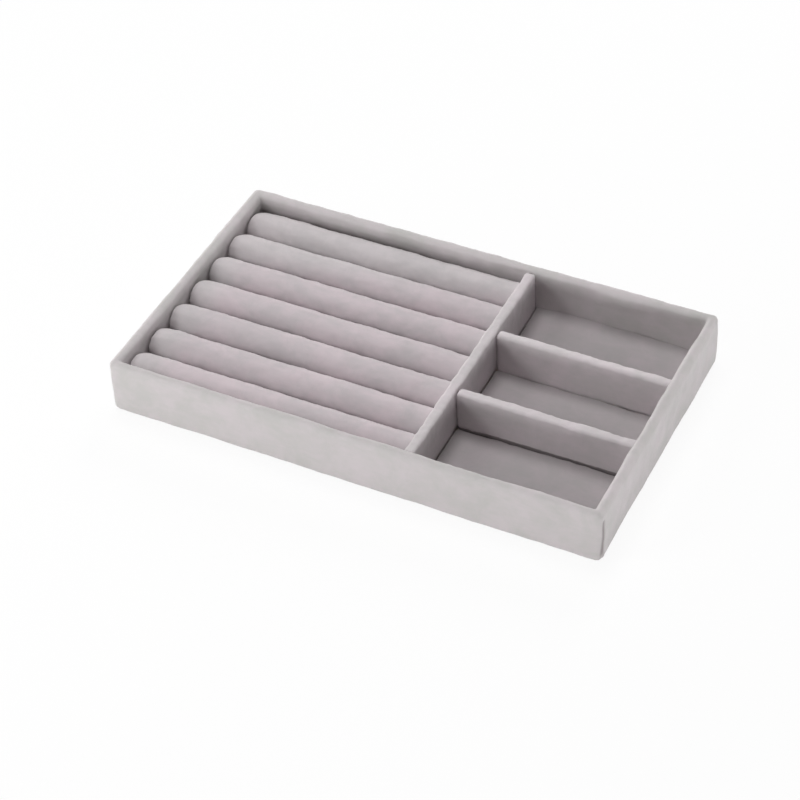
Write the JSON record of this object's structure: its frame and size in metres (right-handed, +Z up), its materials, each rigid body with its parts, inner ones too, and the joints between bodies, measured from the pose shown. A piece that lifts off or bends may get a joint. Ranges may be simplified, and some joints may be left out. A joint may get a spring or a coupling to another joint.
{
  "type": "jewelry tray",
  "caption": "Low velvet-covered jewelry tray with a bay of ring rolls beside a row of open compartments.",
  "frame": {"origin": "middle of the underside, on the surface that the tray stands on", "axes": "+X along the length towards the compartments, +Y towards the back, +Z up"},
  "size_m": [0.21, 0.123, 0.025],
  "materials": {
    "grey_velvet": "matte",
    "roll_velvet": "matte",
    "felt": "matte",
    "board": "matte",
    "card": "matte",
    "foam": "matte"
  },
  "bodies": {
    "root": {"front_wall_board": "board", "back_wall_board": "board", "left_wall_board": "board", "right_wall_board": "board", "base_board": "board", "long_divider_board": "board", "front_short_divider_board": "board", "rear_short_divider_board": "board", "wall_velvet": "grey_velvet", "long_divider_velvet": "grey_velvet", "front_short_divider_velvet": "grey_velvet", "rear_short_divider_velvet": "grey_velvet", "front_floor_velvet": "grey_velvet", "middle_floor_velvet": "grey_velvet", "rear_floor_velvet": "grey_velvet", "front_floor_card": "card", "middle_floor_card": "card", "rear_floor_card": "card", "ring_bed_card": "card", "ring_roll_foam_1": "foam", "ring_roll_foam_2": "foam", "ring_roll_foam_3": "foam", "ring_roll_foam_4": "foam", "ring_roll_foam_5": "foam", "ring_roll_foam_6": "foam", "ring_roll_foam_7": "foam", "ring_roll_velvet_1": "roll_velvet", "ring_roll_velvet_2": "roll_velvet", "ring_roll_velvet_3": "roll_velvet", "ring_roll_velvet_4": "roll_velvet", "ring_roll_velvet_5": "roll_velvet", "ring_roll_velvet_6": "roll_velvet", "ring_roll_velvet_7": "roll_velvet", "underside_felt": "felt"}
  },
  "joints": []
}
